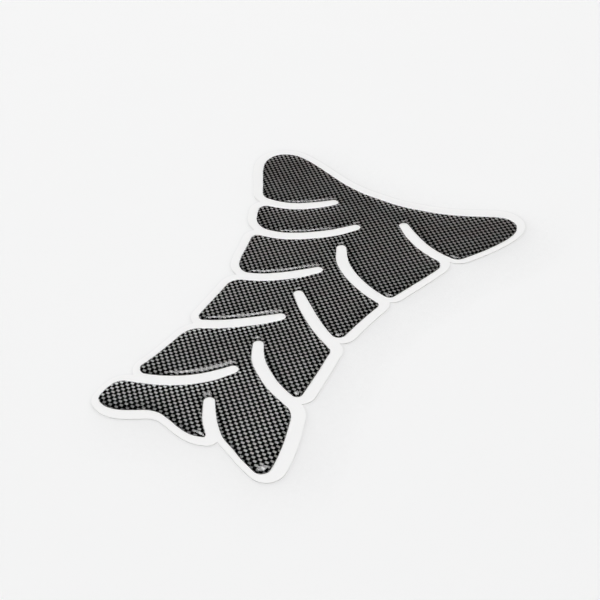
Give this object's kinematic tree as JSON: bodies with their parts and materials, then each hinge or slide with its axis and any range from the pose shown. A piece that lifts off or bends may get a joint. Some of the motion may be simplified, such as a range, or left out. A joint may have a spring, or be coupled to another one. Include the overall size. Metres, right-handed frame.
{
  "type": "motorcycle tank pad",
  "caption": "Self-adhesive tank protector: a fish-bone shaped carbon-look film under a clear resin dome, on its release liner.",
  "frame": {"origin": "underside of the release liner, at the middle of its outline's length and width", "axes": "+Y along the spine towards the wide head, +Z out of the clear dome, +X to the right seen from above with the head at the top"},
  "size_m": [0.1484, 0.2052, 0.0019],
  "materials": {
    "release_liner": "smooth silicone-coated white backing paper, soft sheen",
    "adhesive": "pressure-sensitive adhesive, tacky and even",
    "carbon_film": "plain-weave carbon look in black and grey",
    "clear_resin": "clear flexible polyurethane, poured and glossy"
  },
  "bodies": {
    "root": {"release_liner": "release_liner", "adhesive_layer": "adhesive", "carbon_film": "carbon_film", "resin_dome": "clear_resin"}
  },
  "joints": []
}
